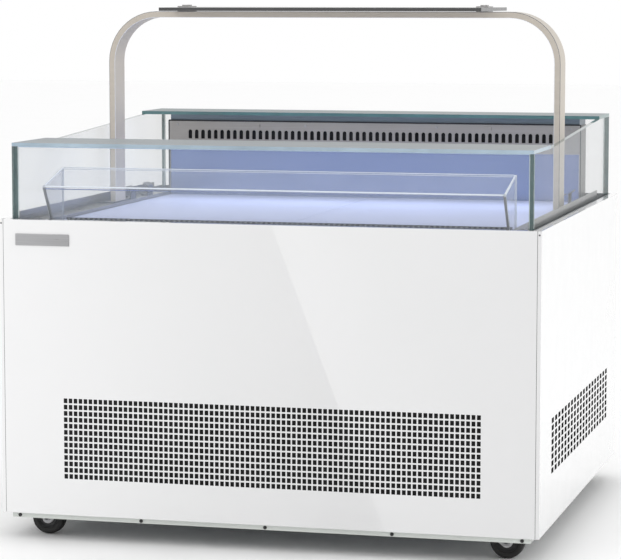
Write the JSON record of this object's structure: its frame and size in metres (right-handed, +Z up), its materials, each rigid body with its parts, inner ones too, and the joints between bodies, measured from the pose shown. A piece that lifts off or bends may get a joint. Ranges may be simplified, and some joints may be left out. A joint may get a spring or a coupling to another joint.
{
  "type": "refrigerated island display merchandiser",
  "caption": "Open-top refrigerated display cabinet on casters with a glass guard box, a slotted rear air plenum, a clear product guard and an arch carrying a glass shelf.",
  "frame": {"origin": "on the floor, under the middle of the cabinet", "axes": "+X to the customer's right, -Y to the customer (front panel), +Z up"},
  "size_m": [1.22, 1.126, 1.1935],
  "materials": {
    "white_panel": "gloss white enamel",
    "frame_paint": "light grey powder coat",
    "galvanised": "galvanised sheet",
    "well_foam": "foam body with a smooth grey skin",
    "stainless": "fine brushed stainless",
    "deck_steel": "satin stainless",
    "polished_steel": "mirror polished stainless",
    "channel_alu": "anodised",
    "glass": "clear float glass with green edges",
    "acrylic": "clear polished acrylic",
    "zinc": "zinc plated",
    "coil_alu": "mill finish fins",
    "black_steel": "satin black enamel",
    "fan_plastic": "moulded",
    "copper": "drawn copper",
    "drain_plastic": "grey PVC",
    "black_plastic": "fine texture",
    "button_plastic": "moulded",
    "tyre_rubber": "solid rubber tread"
  },
  "bodies": {
    "cabinet": {"air_return_grille": "stainless", "arch": "stainless", "arch_brackets": "stainless", "badge_plate": "polished_steel", "base_frame": "frame_paint", "caster_plates": "zinc", "compressor": "black_steel", "condenser_coil": "coil_alu", "condenser_motor": "black_steel", "control_box": "galvanised", "control_panel": "black_plastic", "deck_beam": "galvanised", "drain_tube": "drain_plastic", "evaporating_pan": "galvanised", "evaporator_coil": "coil_alu", "evaporator_fan_panel": "galvanised", "evaporator_motors": "black_steel", "fan_shroud": "black_steel", "front_glass": "glass", "front_panel": "white_panel", "glazing_channel": "channel_alu", "insulated_well": "well_foam", "ledge_glass": "glass", "left_side_glass": "glass", "left_side_panel": "white_panel", "machine_floor": "galvanised", "overhead_shelf": "glass", "panel_screws": "zinc", "plenum_housing": "stainless", "polished_back_panel": "polished_steel", "power_inlet_gland": "black_plastic", "rear_glass": "glass", "rear_panel": "white_panel", "rear_top_glass": "glass", "receiver_drier": "black_steel", "refrigerant_lines": "copper", "right_side_glass": "glass", "right_side_panel": "white_panel", "shelf_clamps": "stainless", "side_rails": "stainless", "upper_frame": "galvanised"},
    "deck_pan_left": {"deck_pan_left": "deck_steel"},
    "deck_pan_right": {"deck_pan_right": "deck_steel"},
    "product_guard": {"product_guard": "acrylic"},
    "condenser_fan": {"condenser_fan": "fan_plastic"},
    "evaporator_fan_left": {"evaporator_fan_left": "fan_plastic"},
    "evaporator_fan_right": {"evaporator_fan_right": "fan_plastic"},
    "set_button": {"set_button": "button_plastic"},
    "defrost_button": {"defrost_button": "button_plastic"},
    "power_switch": {"power_switch": "button_plastic"},
    "brake_lever_front_left": {"brake_lever_front_left": "zinc"},
    "brake_lever_front_right": {"brake_lever_front_right": "zinc"},
    "caster_fork_front_left": {"caster_fork_front_left": "zinc"},
    "caster_fork_front_right": {"caster_fork_front_right": "zinc"},
    "caster_fork_rear_left": {"caster_fork_rear_left": "zinc"},
    "caster_fork_rear_right": {"caster_fork_rear_right": "zinc"},
    "caster_wheel_front_left": {"caster_wheel_front_left": "tyre_rubber"},
    "caster_wheel_front_right": {"caster_wheel_front_right": "tyre_rubber"},
    "caster_wheel_rear_left": {"caster_wheel_rear_left": "tyre_rubber"},
    "caster_wheel_rear_right": {"caster_wheel_rear_right": "tyre_rubber"}
  },
  "joints": [
    {"name": "deck_pan_left_lift", "type": "slide", "parent": "cabinet", "child": "deck_pan_left", "axis": [0, 0, 1], "range_m": [0, 0.12]},
    {"name": "deck_pan_right_lift", "type": "slide", "parent": "cabinet", "child": "deck_pan_right", "axis": [0, 0, 1], "range_m": [0, 0.12]},
    {"name": "product_guard_lift", "type": "slide", "parent": "cabinet", "child": "product_guard", "axis": [0, 0, 1], "range_m": [0, 0.05]},
    {"name": "caster_swivel_front_left", "type": "hinge", "parent": "cabinet", "child": "caster_fork_front_left", "pos_m": [-0.504, -0.478, 0.095], "axis": [0, 0, 1], "continuous": true},
    {"name": "caster_roll_front_left", "type": "hinge", "parent": "caster_fork_front_left", "child": "caster_wheel_front_left", "pos_m": [-0.528, -0.478, 0.038], "axis": [0, 1, 0], "continuous": true},
    {"name": "brake_press_front_left", "type": "hinge", "parent": "caster_fork_front_left", "child": "brake_lever_front_left", "pos_m": [-0.489, -0.478, 0.07], "axis": [0, 1, 0], "range_deg": [0, 14]},
    {"name": "caster_swivel_front_right", "type": "hinge", "parent": "cabinet", "child": "caster_fork_front_right", "pos_m": [0.504, -0.478, 0.095], "axis": [0, 0, 1], "continuous": true},
    {"name": "caster_roll_front_right", "type": "hinge", "parent": "caster_fork_front_right", "child": "caster_wheel_front_right", "pos_m": [0.528, -0.478, 0.038], "axis": [0, 1, 0], "continuous": true},
    {"name": "brake_press_front_right", "type": "hinge", "parent": "caster_fork_front_right", "child": "brake_lever_front_right", "pos_m": [0.489, -0.478, 0.07], "axis": [0, -1, 0], "range_deg": [0, 14]},
    {"name": "caster_swivel_rear_left", "type": "hinge", "parent": "cabinet", "child": "caster_fork_rear_left", "pos_m": [-0.504, 0.478, 0.095], "axis": [0, 0, 1], "continuous": true},
    {"name": "caster_roll_rear_left", "type": "hinge", "parent": "caster_fork_rear_left", "child": "caster_wheel_rear_left", "pos_m": [-0.528, 0.478, 0.038], "axis": [0, 1, 0], "continuous": true},
    {"name": "caster_swivel_rear_right", "type": "hinge", "parent": "cabinet", "child": "caster_fork_rear_right", "pos_m": [0.504, 0.478, 0.095], "axis": [0, 0, 1], "continuous": true},
    {"name": "caster_roll_rear_right", "type": "hinge", "parent": "caster_fork_rear_right", "child": "caster_wheel_rear_right", "pos_m": [0.528, 0.478, 0.038], "axis": [0, 1, 0], "continuous": true},
    {"name": "condenser_fan_spin", "type": "hinge", "parent": "cabinet", "child": "condenser_fan", "pos_m": [-0.205, -0.38, 0.266], "axis": [0, 1, 0], "continuous": true},
    {"name": "evaporator_fan_left_spin", "type": "hinge", "parent": "cabinet", "child": "evaporator_fan_left", "pos_m": [-0.22, 0.23, 0.618], "axis": [0, 1, 0], "continuous": true},
    {"name": "evaporator_fan_right_spin", "type": "hinge", "parent": "cabinet", "child": "evaporator_fan_right", "pos_m": [0.22, 0.23, 0.618], "axis": [0, 1, 0], "continuous": true},
    {"name": "set_button_press", "type": "slide", "parent": "cabinet", "child": "set_button", "axis": [0, -1, 0], "range_m": [0, 0.001], "stiffness_N_per_m": 300},
    {"name": "defrost_button_press", "type": "slide", "parent": "cabinet", "child": "defrost_button", "axis": [0, -1, 0], "range_m": [0, 0.001], "stiffness_N_per_m": 300},
    {"name": "power_switch_rock", "type": "hinge", "parent": "cabinet", "child": "power_switch", "pos_m": [-0.47, 0.5595, 0.62], "axis": [1, 0, 0], "range_deg": [-6, 6]}
  ]
}
